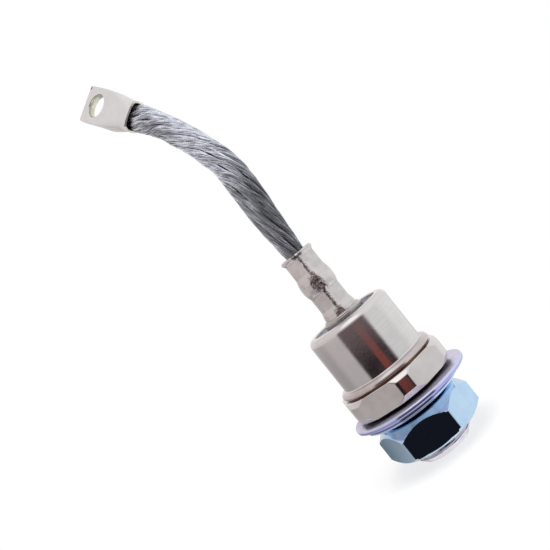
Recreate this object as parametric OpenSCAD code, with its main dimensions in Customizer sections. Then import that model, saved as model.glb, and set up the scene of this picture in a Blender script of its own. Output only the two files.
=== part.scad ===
// Stud rectifier diode with a flexible lead.
// A hexagonal copper base carries the silicon wafer under a welded can. A crimped terminal tube leaves
// the can through a glass seal, and a stranded lead runs from it to a tubular lug.
// Z is the axis of the stud. The seat that meets the heat sink lies at z = 0, and the stud points down.

/* [Stud base] */
// Outside diameter of the mounting stud
stud_d = 19.05; // [17:0.05:20]
// Length of the stud below the seat
stud_len = 19.6; // [18:0.1:30]
// Chamfer on the free end of the stud
stud_chamfer = 1.9; // [0.5:0.1:2.4]
// Diameter of the round seat under the hexagon
seat_d = 29; // [25:0.25:31]
// Height of the round seat
seat_h = 1.2; // [0.5:0.05:3]
// Width across the flats of the hexagon
hex_af = 31.75; // [30:0.25:36]
// Height of the hexagon
hex_h = 7.1; // [5:0.05:12]
// Extra width over the turned corners of the hexagon
corner_extra = 2.75; // [1:0.05:4]
// Height of the chamfer on the hexagon's upper corners
upper_chamfer_h = 1.25; // [0.5:0.05:2.5]
// Height of the chamfer on the hexagon's lower corners
lower_chamfer_h = 1.7; // [0.5:0.05:2.5]
// Angle of the corner chamfers from the axis
corner_angle = 29; // [15:1:45]
// Turn of a hexagon corner from the front
hex_turn = 3.2; // [-30:0.1:30]

/* [Can] */
// Outside diameter of the can
can_d = 27; // [25:0.25:28.5]
// Height of the can over its flange
can_h = 19.3; // [17:0.05:26]
// Wall of the can
can_wall = 1.2; // [0.8:0.1:2]
// Rounding of the can's upper edge
can_edge_r = 2; // [0.5:0.1:2.4]
// Width of the weld flange outside the can
flange_w = 1.85; // [1:0.05:2.2]
// Thickness of the weld flange
flange_h = 1.65; // [1:0.05:3]
// Rounding of the weld flange's upper edge
flange_edge_r = 1.4; // [0.2:0.1:1.5]
// Height of the steel ring that the flange is welded to
weld_ring_h = 0.6; // [0.2:0.05:1]
// How far the weld ring stands back from the flange
weld_ring_step = 0.75; // [0.2:0.05:1.2]
// Width of the weld ring
weld_ring_w = 3; // [2:0.1:4]

/* [Glass seal] */
// Diameter of the opening in the can's top
opening_d = 21.4; // [17:0.1:22]
// Depth of the opening's thick rim
rim_depth = 6.6; // [5:0.1:8]
// Depth of the glass below the can's top
glass_recess = 0.8; // [0.3:0.1:2]
// Thickness of the glass
glass_h = 5.2; // [3:0.1:5.5]
// Outside diameter of the seal sleeve
sleeve_d = 12.2; // [11.8:0.1:14]
// Outside diameter of the collar on the sleeve
collar_d = 13.1; // [12.8:0.1:16]
// Height of the collar
collar_h = 1.45; // [0.5:0.05:3]
// Height of the sleeve above the collar
sleeve_rise = 0.7; // [0.3:0.05:3]
// Length of the sleeve below the glass
sleeve_drop = 1; // [0.5:0.1:2]

/* [Terminal tube] */
// Outside diameter of the terminal tube
tube_d = 10.8; // [10.3:0.05:11.4]
// Height of the terminal tube above the sleeve
tube_rise = 21.5; // [20:0.1:24]
// Length of the terminal tube below the sleeve
tube_drop = 1.5; // [0.5:0.1:2.5]
// Width across the flats of the crimps
crimp_af = 9.5; // [8.8:0.05:10]
// Length of the flats of a crimp
crimp_len = 4.7; // [3:0.1:6]
// Distance from the tube's mouth to the upper crimp
crimp_from_mouth = 1.8; // [1:0.1:2.5]
// Distance between the two crimps
crimp_gap = 7.2; // [6:0.1:8]
// Length of the slope at each end of a crimp
crimp_slope = 1.9; // [0.5:0.1:2.2]
// Chamfer on the tube's mouth
mouth_chamfer = 0.35; // [0.1:0.05:0.6]

/* [Wafer stack] */
// Diameter of the raised pad that carries the stack
pad_d = 18; // [17:0.25:20]
// Height of the raised pad
pad_h = 1.5; // [0.5:0.1:2.5]
// Diameter of the lower expansion plate
lower_plate_d = 16; // [15:0.25:17]
// Diameter of the silicon wafer
wafer_d = 15; // [13:0.25:15]
// Diameter of the upper expansion plate
upper_plate_d = 12.5; // [11:0.25:13]
// Thickness of each expansion plate
plate_h = 1; // [0.6:0.1:1.5]
// Thickness of the silicon wafer
wafer_h = 0.4; // [0.3:0.05:0.6]
// Outside diameter of the contact cup
cup_d = 10.5; // [9.5:0.25:11]
// Height of the contact cup
cup_h = 5; // [3:0.1:6]
// Thickness of the contact cup's floor
cup_floor = 1; // [0.5:0.1:1.5]

/* [Flexible lead] */
// Diameter of the lead
lead_d = 8.6; // [8:0.1:9.6]
// Diameter of the rope where it is held in the terminal tube
lead_tube_d = 6.4; // [5.6:0.1:6.8]
// Diameter of the rope where it is held in the lug
lead_lug_d = 8.2; // [7:0.1:8.6]
// Clearance round the rope in its fittings
rope_clearance = 0.3; // [0.1:0.05:0.5]

/* [Terminal lug] */
// Outside width of the lug's barrel
lug_d = 10.4; // [9.6:0.1:12]
// Thickness that the lug's barrel is pressed to
lug_h = 6.6; // [5.8:0.1:8]
// Length of the lug from its mouth to its tip
lug_len = 26.6; // [25:0.1:40]
// Length of the barrel before it widens towards the tongue
mouth_len = 3; // [1:0.1:6]
// Length of the flat tongue
tongue_len = 12.5; // [12:0.5:14]
// Width of the tongue
tongue_w = 12.8; // [11:0.1:16]
// Thickness of the tongue
tongue_h = 2.6; // [1:0.1:3.5]
// Rounding of the tongue's corners
tongue_corner_r = 1.5; // [0.4:0.1:2.5]
// How far the barrel's round sides spread past the tongue where it starts
lug_spread = 0.65; // [0.4:0.05:1]
// Diameter of the hole in the tongue
lug_hole_d = 8; // [5:0.1:8.6]
// Distance from the tip to the middle of the hole
lug_hole_from_tip = 7.2; // [6:0.1:8]
// Turn of the tongue about the lug's axis
lug_turn = 47.5; // [0:0.5:180]
// Material left between the rope's end and the flattened part
lug_floor = 2.5; // [0.5:0.1:3]

/* [Mounting hardware] */
// Outside diameter of the flat washer
washer_d = 37.9; // [34:0.1:42]
// Thickness of the flat washer
washer_h = 1.4; // [1:0.05:2.5]
// Rounding of the flat washer's edges
washer_edge_r = 0.5; // [0.1:0.05:0.5]
// Play between the flat washer and the stud
washer_play = 0.8; // [0.2:0.05:1.5]
// Share of its play that the flat washer sits to one side
washer_aside = 0.9; // [0:0.05:0.95]
// Outside diameter of the conical spring washer
spring_d = 32; // [28:0.1:36]
// Thickness of the conical spring washer
spring_h = 1.7; // [1:0.05:2.5]
// Height of the spring washer's cone
spring_cone = 2.1; // [0.5:0.05:2.5]
// Width of the flat edges that the spring washer seats on
spring_seat_w = 0.8; // [0.3:0.1:1.5]
// Play between the spring washer and the stud
spring_play = 0.4; // [0.1:0.05:1]
// Width across the flats of the nut
nut_af = 27.25; // [25:0.25:32]
// Height of the nut
nut_h = 10.4; // [6:0.1:10.5]
// Diameter of the nut's round end faces
nut_face_d = 25.6; // [23.5:0.1:26]
// Angle of the nut's upper chamfer
nut_upper_angle = 46; // [15:1:50]
// Angle of the nut's lower chamfer
nut_lower_angle = 30; // [15:1:35]
// Depth of the countersink at each end of the nut's bore
nut_countersink = 0.8; // [0.2:0.1:1.5]
// Clearance between the nut and the stud
thread_clearance = 0.05; // [0.02:0.01:0.2]
// Turn of a flat of the nut from the front
nut_turn = -10; // [-30:0.5:30]

/* [Hidden] */
$fn = 96;

// Room that a cutting shape takes past the face that it cuts
over = 1;
// Clearance of the pieces that are brazed or fused together
braze_gap = 0.05;

// Levels of the base and the can, from the seat upwards
hex_top = seat_h + hex_h;
flange_z = hex_top + weld_ring_h;
can_top = flange_z + can_h;
flange_d = can_d + 2 * flange_w;
weld_ring_d = flange_d - 2 * weld_ring_step;

// Levels of the seal and the terminal tube
glass_top = can_top - glass_recess;
glass_z = glass_top - glass_h;
sleeve_z = glass_z - sleeve_drop;
collar_top = glass_top + collar_h;
sleeve_top = collar_top + sleeve_rise;
tube_z = sleeve_z - tube_drop;
tube_top = sleeve_top + tube_rise;
tube_bore_d = lead_tube_d + 2 * rope_clearance;
crimp_upper_z = tube_top - crimp_from_mouth - crimp_len;
crimp_lower_z = crimp_upper_z - crimp_gap - crimp_len;

// Levels of the wafer stack
pad_top = hex_top + pad_h;
wafer_z = pad_top + plate_h;
upper_plate_z = wafer_z + wafer_h;
cup_z = upper_plate_z + plate_h;
inner_rope_z = cup_z + cup_floor;

// Levels of the hardware, from the seat downwards
washer_z = -washer_h;
spring_z = washer_z - spring_h - spring_cone;
nut_z = spring_z - nut_h;
spring_bore_d = stud_d + 2 * spring_play;
nut_bore_d = stud_d + 2 * thread_clearance;

// Route of the lead, from the splice inside the terminal tube to the floor of the lug's barrel
route = [
    [0, 0, 40], [0, 0, 46], [0, 0, 52], [0, 0.1, 58], [0.1, 0.5, 64], [0.4, 1.4, 70],
    [0.6, 2.9, 75.8], [0.6, 5, 81.4], [0.2, 7.4, 86.6], [-0.9, 10, 91.7], [-2.3, 12.7, 96.8],
    [-4, 15.6, 101.8], [-5.9, 18.7, 106.6], [-7.9, 21.9, 111], [-9.9, 25, 114.9],
    [-11.7, 27.8, 118.2], [-14.6, 33.2, 123.4]
];
rope_sides = 12;
route_last = len(route) - 1;
tube_mouth_i = 2;
lug_mouth_i = route_last - 1;

// The lug follows the last stretch of the route
lug_step = route[route_last] - route[lug_mouth_i];
lug_bore_depth = norm(lug_step) + braze_gap;
lug_tilt = acos(lug_step[2] / norm(lug_step));
lug_heading = atan2(lug_step[1], lug_step[0]);
lug_bore_d = lead_lug_d + 2 * rope_clearance;
lug_bore_h = lug_h - lug_d + lug_bore_d;
barrel_len = lug_bore_depth + lug_floor;
tongue_root = lug_len - tongue_len;
tongue_back = lug_h / 2 - tongue_h;

// Direction across the lug that its barrel and the rope in it are pressed along
press_x = -sin(lug_turn) * cos(lug_tilt);
press_y = cos(lug_turn);
press = [
    press_x * cos(lug_heading) - press_y * sin(lug_heading),
    press_x * sin(lug_heading) + press_y * cos(lug_heading),
    sin(lug_turn) * sin(lug_tilt)
];
rope_press = 1 - (lug_bore_h - 2 * rope_clearance) / lead_lug_d;

// Colours of the finishes
nickel = [0.72, 0.70, 0.69];
nickel_bright = [0.80, 0.79, 0.80];
zinc = [0.70, 0.72, 0.80];
zinc_blue = [0.62, 0.70, 0.78];
bare_steel = [0.50, 0.50, 0.52];
glass_navy = [0.10, 0.11, 0.20];
molybdenum = [0.45, 0.45, 0.47];
silicon = [0.28, 0.29, 0.34];
copper = [0.72, 0.45, 0.32];
tinned = [0.55, 0.57, 0.61];
tin_pale = [0.83, 0.83, 0.86];

// Direction of the route at one of its points
function route_direction(i) =
    let (step = route[min(i + 1, route_last)] - route[max(i - 1, 0)]) step / norm(step);

// Diameter of the rope at one of the route's points
function rope_d(i) =
    i <= tube_mouth_i ? lead_tube_d
    : i == tube_mouth_i + 1 ? (lead_tube_d + lead_d) / 2
    : i >= lug_mouth_i ? lead_lug_d
    : lead_d;

// Point of the rope's surface, pressed flat where the lug holds the rope
function pressed(i, from_axis) =
    i < lug_mouth_i ? from_axis : from_axis - rope_press * (from_axis * press) * press;

// Ring of points round the route at one of its points
function rope_ring(i) =
    let (along = route_direction(i))
    let (across_raw = cross(along, [1, 0, 0]))
    let (across = across_raw / norm(across_raw))
    let (aside = cross(along, across))
    [for (k = [0 : rope_sides - 1])
        let (a = 360 * k / rope_sides)
        route[i] + pressed(i, rope_d(i) / 2 * (cos(a) * across + sin(a) * aside))];

// Half section of a disc with a round upper outer edge, for turning about Z
module round_top_section(d, z, h, edge_r) {
    translate([0, z]) {
        square([d / 2, h - edge_r]);
        square([d / 2 - edge_r, h]);
        intersection() {
            square([d / 2, h]);
            translate([d / 2 - edge_r, h - edge_r]) circle(r = edge_r);
        }
    }
}

// Hexagonal prism with one of its corners at a given angle
module hexagon(af, z, h, turn) {
    rotate([0, 0, turn]) translate([0, 0, z]) cylinder(d = af / cos(30), h = h, $fn = 6);
}

module stud_base() {
    stud_r = stud_d / 2;
    corner_r = (hex_af + corner_extra) / 2;
    color(nickel) {
        rotate_extrude() polygon([
            [0, -stud_len], [stud_r - stud_chamfer, -stud_len], [stud_r, stud_chamfer - stud_len],
            [stud_r, 0], [seat_d / 2, 0], [seat_d / 2, seat_h], [pad_d / 2, seat_h],
            [pad_d / 2, pad_top], [0, pad_top]
        ]);
        intersection() {
            hexagon(hex_af, seat_h, hex_h, hex_turn - 90);
            rotate_extrude() polygon([
                [0, seat_h], [corner_r - lower_chamfer_h * tan(corner_angle), seat_h],
                [corner_r, seat_h + lower_chamfer_h], [corner_r, hex_top - upper_chamfer_h],
                [corner_r - upper_chamfer_h * tan(corner_angle), hex_top], [0, hex_top]
            ]);
        }
    }
}

module weld_ring() {
    color(bare_steel) translate([0, 0, hex_top]) difference() {
        cylinder(d = weld_ring_d, h = weld_ring_h);
        translate([0, 0, -over]) cylinder(d = weld_ring_d - 2 * weld_ring_w, h = weld_ring_h + 2 * over);
    }
}

module can() {
    chamber_h = can_h - rim_depth;
    color(nickel) difference() {
        rotate_extrude() union() {
            round_top_section(flange_d, flange_z, flange_h, flange_edge_r);
            round_top_section(can_d, flange_z, can_h, can_edge_r);
        }
        translate([0, 0, flange_z - over]) cylinder(d = can_d - 2 * can_wall, h = chamber_h + over);
        translate([0, 0, flange_z]) cylinder(d = opening_d, h = can_h + over);
    }
}

module glass_seal() {
    color(glass_navy) translate([0, 0, glass_z]) difference() {
        cylinder(d = opening_d - 2 * braze_gap, h = glass_h);
        translate([0, 0, -over]) cylinder(d = sleeve_d + 2 * braze_gap, h = glass_h + 2 * over);
    }
}

module seal_sleeve() {
    color(nickel_bright) difference() {
        rotate_extrude() polygon([
            [0, sleeve_z], [sleeve_d / 2, sleeve_z], [sleeve_d / 2, glass_top], [collar_d / 2, glass_top],
            [collar_d / 2, collar_top], [sleeve_d / 2, collar_top], [sleeve_d / 2, sleeve_top], [0, sleeve_top]
        ]);
        translate([0, 0, sleeve_z - over])
            cylinder(d = tube_d + 2 * braze_gap, h = sleeve_top - sleeve_z + 2 * over);
    }
}

// One flat jaw of the crimping tool, with its sloping ends, pressing on the +X side of the tube
module crimp_jaw(z) {
    flat_x = crimp_af / 2;
    bite = tube_d / 2 - flat_x;
    run = crimp_slope * (bite + over) / bite;
    translate([0, tube_d, 0]) rotate([90, 0, 0]) linear_extrude(2 * tube_d) polygon([
        [flat_x, z], [flat_x + bite + over, z - run],
        [flat_x + bite + over, z + crimp_len + run], [flat_x, z + crimp_len]
    ]);
}

module terminal_tube() {
    tube_r = tube_d / 2;
    bore_r = tube_bore_d / 2;
    color(nickel_bright) difference() {
        rotate_extrude() polygon([
            [bore_r, tube_z], [tube_r, tube_z], [tube_r, tube_top - mouth_chamfer],
            [tube_r - mouth_chamfer, tube_top], [bore_r + mouth_chamfer, tube_top],
            [bore_r, tube_top - mouth_chamfer]
        ]);
        for (z = [crimp_lower_z, crimp_upper_z], side = [0 : 5])
            rotate([0, 0, 60 * side]) crimp_jaw(z);
    }
}

module lower_plate() {
    color(molybdenum) translate([0, 0, pad_top]) cylinder(d = lower_plate_d, h = plate_h);
}

module silicon_wafer() {
    color(silicon) translate([0, 0, wafer_z]) cylinder(d = wafer_d, h = wafer_h);
}

module upper_plate() {
    color(molybdenum) translate([0, 0, upper_plate_z]) cylinder(d = upper_plate_d, h = plate_h);
}

module contact_cup() {
    color(copper) translate([0, 0, cup_z]) difference() {
        cylinder(d = cup_d, h = cup_h);
        translate([0, 0, cup_floor]) cylinder(d = tube_bore_d, h = cup_h);
    }
}

// The inner rope runs from the contact cup to the splice, where the lead starts
module inner_rope() {
    color(copper) translate([0, 0, inner_rope_z]) cylinder(d = lead_tube_d, h = route[0][2] - inner_rope_z);
}

module lead_rope() {
    points = [for (i = [0 : route_last]) each rope_ring(i)];
    sides = [
        for (i = [0 : route_last - 1], k = [0 : rope_sides - 1])
            let (next_k = (k + 1) % rope_sides)
            let (ring = i * rope_sides)
            let (above = ring + rope_sides)
            each [[ring + k, above + k, above + next_k], [ring + k, above + next_k, ring + next_k]]
    ];
    first_end = [for (k = [0 : rope_sides - 1]) k];
    last_end = [for (k = [rope_sides - 1 : -1 : 0]) route_last * rope_sides + k];
    color(tinned) polyhedron(points, concat(sides, [first_end, last_end]));
}

// Outline of the lug across its width, from the barrel's mouth to the tongue's round-cornered tip
module lug_outline() {
    corner = tongue_w / 2 - tongue_corner_r;
    translate([-tongue_w / 2, 0]) square([tongue_w, lug_len - tongue_corner_r]);
    translate([-corner, 0]) square([2 * corner, lug_len]);
    for (side = [-1, 1]) translate([side * corner, lug_len - tongue_corner_r]) circle(r = tongue_corner_r);
}

// Outline of the lug from its edge: flat in front, with its back pressed forward to the tongue
module lug_edge_outline() {
    polygon([
        [-lug_h / 2, 0], [lug_h / 2, 0], [lug_h / 2, lug_len], [tongue_back, lug_len],
        [tongue_back, tongue_root], [-lug_h / 2, barrel_len]
    ]);
}

// The lug lies along +Z in its own frame, with its mouth at the origin and its tongue across X
module lug_shape() {
    reach = lug_d + tongue_w;
    tongue_r = tongue_w / 2;
    difference() {
        intersection() {
            rotate_extrude() polygon([
                [0, 0], [lug_d / 2, 0], [lug_d / 2, mouth_len], [tongue_r + lug_spread, tongue_root],
                [tongue_r + over, tongue_root + over], [tongue_r + over, lug_len], [0, lug_len]
            ]);
            translate([0, reach / 2, 0]) rotate([90, 0, 0]) linear_extrude(reach) lug_outline();
            rotate([0, 0, 90]) translate([0, reach / 2, 0]) rotate([90, 0, 0])
                linear_extrude(reach) lug_edge_outline();
        }
        intersection() {
            translate([0, 0, -over]) cylinder(d = lug_bore_d, h = lug_bore_depth + over);
            translate([-lug_d / 2, -lug_bore_h / 2, -over]) cube([lug_d, lug_bore_h, lug_bore_depth + 2 * over]);
        }
        translate([0, lug_h / 2 + over, lug_len - lug_hole_from_tip])
            rotate([90, 0, 0]) cylinder(d = lug_hole_d, h = tongue_h + 2 * over);
    }
}

module terminal_lug() {
    color(tin_pale) translate(route[lug_mouth_i]) rotate([0, lug_tilt, lug_heading])
        rotate([0, 0, lug_turn]) lug_shape();
}

module flat_washer() {
    edge_mid = washer_h / 2;
    color(zinc) translate([washer_play * washer_aside, 0, washer_z]) difference() {
        rotate_extrude() union() {
            round_top_section(washer_d, edge_mid, washer_h - edge_mid, washer_edge_r);
            translate([0, washer_h]) mirror([0, 1])
                round_top_section(washer_d, edge_mid, washer_h - edge_mid, washer_edge_r);
        }
        translate([0, 0, -over]) cylinder(d = stud_d + 2 * washer_play, h = washer_h + 2 * over);
    }
}

// The spring washer's wide edge seats on the flat washer, and its narrow edge on the nut
module spring_washer() {
    r_in = spring_bore_d / 2;
    r_out = spring_d / 2;
    color(zinc_blue) rotate_extrude() polygon([
        [r_in, spring_z], [r_in + spring_seat_w, spring_z], [r_out, washer_z - spring_h],
        [r_out, washer_z], [r_out - spring_seat_w, washer_z], [r_in, spring_z + spring_h]
    ]);
}

module hex_nut() {
    face_r = nut_face_d / 2;
    corner_r = nut_af / cos(30) / 2 + over;
    upper_h = (corner_r - face_r) * tan(nut_upper_angle);
    lower_h = (corner_r - face_r) * tan(nut_lower_angle);
    bore_r = nut_bore_d / 2;
    color(zinc_blue) difference() {
        intersection() {
            hexagon(nut_af, nut_z, nut_h, nut_turn - 60);
            translate([0, 0, nut_z]) rotate_extrude() polygon([
                [0, 0], [face_r, 0], [corner_r, lower_h], [corner_r, nut_h - upper_h],
                [face_r, nut_h], [0, nut_h]
            ]);
        }
        translate([0, 0, nut_z]) rotate_extrude() polygon([
            [0, -over], [bore_r + nut_countersink + over, -over], [bore_r, nut_countersink],
            [bore_r, nut_h - nut_countersink], [bore_r + nut_countersink + over, nut_h + over], [0, nut_h + over]
        ]);
    }
}

stud_base();
weld_ring();
can();
glass_seal();
seal_sleeve();
terminal_tube();
lower_plate();
silicon_wafer();
upper_plate();
contact_cup();
inner_rope();
lead_rope();
terminal_lug();
flat_washer();
spring_washer();
hex_nut();
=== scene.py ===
import math
import random

import bpy
import numpy as np
from mathutils import Matrix, Vector


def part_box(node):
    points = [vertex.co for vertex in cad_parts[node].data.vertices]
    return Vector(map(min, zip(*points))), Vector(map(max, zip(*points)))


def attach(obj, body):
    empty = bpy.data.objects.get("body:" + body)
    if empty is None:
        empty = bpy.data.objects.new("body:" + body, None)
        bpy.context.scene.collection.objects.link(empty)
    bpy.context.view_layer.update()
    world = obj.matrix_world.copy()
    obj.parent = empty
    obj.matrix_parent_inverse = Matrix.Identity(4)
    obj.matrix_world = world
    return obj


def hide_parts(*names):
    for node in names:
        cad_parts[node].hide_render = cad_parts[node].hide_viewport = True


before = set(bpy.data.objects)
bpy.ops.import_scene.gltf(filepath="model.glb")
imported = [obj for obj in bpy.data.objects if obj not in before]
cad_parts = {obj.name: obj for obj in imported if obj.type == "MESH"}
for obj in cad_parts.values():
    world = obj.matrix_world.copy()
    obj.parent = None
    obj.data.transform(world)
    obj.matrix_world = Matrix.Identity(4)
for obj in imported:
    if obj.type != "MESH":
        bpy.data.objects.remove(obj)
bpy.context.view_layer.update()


# Stud base
# The base is one piece of copper: a milled hexagon with turned corners, a round seat under it and a
# threaded stud. It is nickel plated, and a heat sink is clamped between the seat and the nut.
MM = 0.001
SIDES = 360
AROUND = np.linspace(0, 2 * math.pi, SIDES, endpoint=False)
SIXTH = math.radians(60)
SHARP_ANGLE = math.radians(40)
# A face counts as lying at a height within this many millimetres.
NEAR = 0.01


def mesh_piece(name, points, faces):
    """A smooth-shaded object made of points in millimetres and faces."""
    mesh = bpy.data.meshes.new(name)
    mesh.from_pydata((points * MM).tolist(), [], faces)
    mesh.shade_smooth()
    piece = bpy.data.objects.new(name, mesh)
    bpy.context.scene.collection.objects.link(piece)
    return piece


def ring_piece(name, rings, loop=False):
    """A mesh through rings round Z, each (radius or one radius per side, height) in millimetres."""
    points = []
    for radius, z in rings:
        r = np.broadcast_to(radius, SIDES)
        points.append(np.stack([r * np.cos(AROUND), r * np.sin(AROUND), np.full(SIDES, z)], axis=1))
    last = len(rings) if loop else len(rings) - 1
    faces = []
    for i in range(last):
        low = i * SIDES
        high = (i + 1) % len(rings) * SIDES
        for k in range(SIDES):
            next_k = (k + 1) % SIDES
            faces.append((low + k, low + next_k, high + next_k, high + k))
    if not loop:
        faces.append(tuple(reversed(range(SIDES))))
        faces.append(tuple(range(last * SIDES, last * SIDES + SIDES)))
    piece = mesh_piece(name, np.concatenate(points), faces)
    piece.data.set_sharp_from_angle(angle=SHARP_ANGLE)
    return piece


def soft_min(sizes, blend):
    """The smallest of several sizes, with the change from one to the next rounded over a blend."""
    smallest = sizes[0]
    for size in sizes[1:]:
        overlap = np.maximum(blend - np.abs(smallest - size), 0) / blend
        smallest = np.minimum(smallest, size) - overlap * overlap * blend / 4
    return smallest


def hexagon_reach(across_flats, corner_at, rounding):
    """Distance from the axis to a hexagon's flats, for each side of the rings, with its corners rounded."""
    from_flat = np.abs((AROUND - math.radians(corner_at)) % SIXTH - SIXTH / 2)
    next_flat = SIXTH - from_flat
    flat = across_flats / 2
    return soft_min([flat / np.cos(from_flat), flat / np.cos(next_flat)], rounding)


base_low, base_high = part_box("stud_base")
stud_end = base_low.z / MM
pad_top = base_high.z / MM
pad_r = 9
stud_r = 9.525
stud_chamfer = 1.9
thread_pitch = 1.5875
thread_depth = 0.95
# Shares of half a pitch that half the crest and one flank of the thread take.
thread_crest = 0.14
thread_flank = 0.72
rings_in_pitch = 11
thread_top = -0.8
neck_r = stud_r - thread_depth
neck_foot = -0.7
seat_r = 14.5
seat_h = 1.2
hexagon_af = 31.75
hexagon_corner_at = 3.2 - 90
hexagon_corner_r = 17.25
hexagon_top = 8.3
hexagon_ring_count = 61
lower_chamfer_h = 1.7
upper_chamfer_h = 1.25
chamfer_slope = math.tan(math.radians(29))
corner_rounding = 0.1
chamfer_rounding = 0.18
edge_break = 0.12

base_rings = []
for z in np.arange(stud_end, thread_top, thread_pitch / rings_in_pitch):
    turn = z / thread_pitch - AROUND / (2 * math.pi)
    from_crest = np.abs(turn - np.round(turn)) * 2
    flank = np.clip((from_crest - thread_crest) / thread_flank, 0, 1)
    cone = stud_r - stud_chamfer + (z - stud_end)
    base_rings.append((np.minimum(stud_r - thread_depth * flank, cone), z))
base_rings += [(neck_r, neck_foot), (neck_r, 0), (seat_r - edge_break, 0)]
base_rings += [(seat_r, edge_break), (seat_r, seat_h)]
hexagon_reaches = hexagon_reach(hexagon_af, hexagon_corner_at, corner_rounding)
for z in np.linspace(seat_h, hexagon_top, hexagon_ring_count):
    lower_cone = hexagon_corner_r - chamfer_slope * (seat_h + lower_chamfer_h - z)
    upper_cone = hexagon_corner_r - chamfer_slope * (z - hexagon_top + upper_chamfer_h)
    cones = min(lower_cone, upper_cone, hexagon_corner_r)
    reach = soft_min([hexagon_reaches, np.full(SIDES, cones)], chamfer_rounding)
    from_edge = min(z - seat_h, hexagon_top - z)
    base_rings.append((reach - max(edge_break - from_edge, 0), z))
base_rings += [(pad_r, hexagon_top), (pad_r, pad_top)]
stud_base = ring_piece("base_with_stud", base_rings)


def node_group(name, inputs, outputs):
    """An empty shader node group with the named sockets, and its input and output nodes."""
    group = bpy.data.node_groups.new(name, "ShaderNodeTree")
    for socket_name, kind, value in inputs:
        socket = group.interface.new_socket(socket_name, in_out="INPUT", socket_type=kind)
        socket.default_value = value
    for socket_name, kind in outputs:
        group.interface.new_socket(socket_name, in_out="OUTPUT", socket_type=kind)
    return group, group.nodes.new("NodeGroupInput"), group.nodes.new("NodeGroupOutput")


def add(tree, kind, links=(), **settings):
    """A new node in a tree, with its properties set and its inputs linked or given values."""
    node = tree.nodes.new(kind)
    for name, value in settings.items():
        setattr(node, name, value)
    for socket, value in dict(links).items():
        if isinstance(value, bpy.types.NodeSocket):
            tree.links.new(value, node.inputs[socket])
        else:
            node.inputs[socket].default_value = value
    return node


def mix_colors(tree, share, a, b, **settings):
    """Two colours of a tree mixed by a mask, as an output socket."""
    mix = add(tree, "ShaderNodeMix", {"Factor": share, "A": a, "B": b}, data_type="RGBA", **settings)
    return mix.outputs["Result"]


def srgb(red, green, blue):
    """A colour as it is read off a screen, from 0 to 255, turned into a shader's linear one."""
    parts = [c / 255 for c in (red, green, blue)]
    return tuple(c / 12.92 if c <= 0.04045 else ((c + 0.055) / 1.055) ** 2.4 for c in parts) + (1.0,)


# Plating mottle: slow patches of a second tint, a rougher bloom in them, and a fine grain.
mottle, mottle_in, mottle_out = node_group(
    "plating_mottle",
    [("Color", "NodeSocketColor", (1, 1, 1, 1)), ("Bloom", "NodeSocketColor", (1, 1, 1, 1)),
     ("Patch Scale", "NodeSocketFloat", 160), ("Roughness", "NodeSocketFloat", 0.25),
     ("Bloom Roughness", "NodeSocketFloat", 0.35), ("Grain Scale", "NodeSocketFloat", 5200)],
    [("Color", "NodeSocketColor"), ("Roughness", "NodeSocketFloat"), ("Grain", "NodeSocketFloat")])
plated_at = add(mottle, "ShaderNodeTexCoord").outputs["Object"]
patches = add(mottle, "ShaderNodeTexNoise", {"Vector": plated_at, "Scale": mottle_in.outputs["Patch Scale"],
                                             "Detail": 6.0, "Roughness": 0.62})
bloom_share = add(mottle, "ShaderNodeMapRange", {"Value": patches.outputs["Fac"],
                                                 "From Min": 0.36, "From Max": 0.68}).outputs["Result"]
tinted = mix_colors(mottle, bloom_share, mottle_in.outputs["Color"], mottle_in.outputs["Bloom"])
bloomed = add(mottle, "ShaderNodeMapRange", {"Value": bloom_share,
                                             "To Min": mottle_in.outputs["Roughness"],
                                             "To Max": mottle_in.outputs["Bloom Roughness"]})
grain_noise = add(mottle, "ShaderNodeTexNoise", {"Vector": plated_at, "Detail": 3.0,
                                                 "Scale": mottle_in.outputs["Grain Scale"]})
mottle.links.new(tinted, mottle_out.inputs["Color"])
mottle.links.new(bloomed.outputs["Result"], mottle_out.inputs["Roughness"])
mottle.links.new(grain_noise.outputs["Fac"], mottle_out.inputs["Grain"])

# Turning marks: the fine rings round Z that a lathe tool leaves on a wall.
marks, marks_in, marks_out = node_group(
    "turning_marks", [("Lines", "NodeSocketFloat", 2600.0)],
    [("Height", "NodeSocketFloat"), ("Shade", "NodeSocketFloat")])
turned_at = add(marks, "ShaderNodeTexCoord").outputs["Object"]
along_axis = add(marks, "ShaderNodeSeparateXYZ", {"Vector": turned_at}).outputs["Z"]
wander = add(marks, "ShaderNodeTexNoise", {"Vector": turned_at, "Scale": 90.0})
drift = add(marks, "ShaderNodeMath", {0: wander.outputs["Fac"], 1: 0.00012, 2: along_axis},
            operation="MULTIPLY_ADD")
ring_noise = add(marks, "ShaderNodeTexNoise",
                 {"W": drift.outputs["Value"], "Scale": marks_in.outputs["Lines"], "Detail": 1.0,
                  "Roughness": 0.5}, noise_dimensions="1D")
ring_shade = add(marks, "ShaderNodeMapRange", {"Value": ring_noise.outputs["Fac"],
                                               "From Min": 0.42, "From Max": 0.66})
marks.links.new(ring_noise.outputs["Fac"], marks_out.inputs["Height"])
marks.links.new(ring_shade.outputs["Result"], marks_out.inputs["Shade"])


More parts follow.
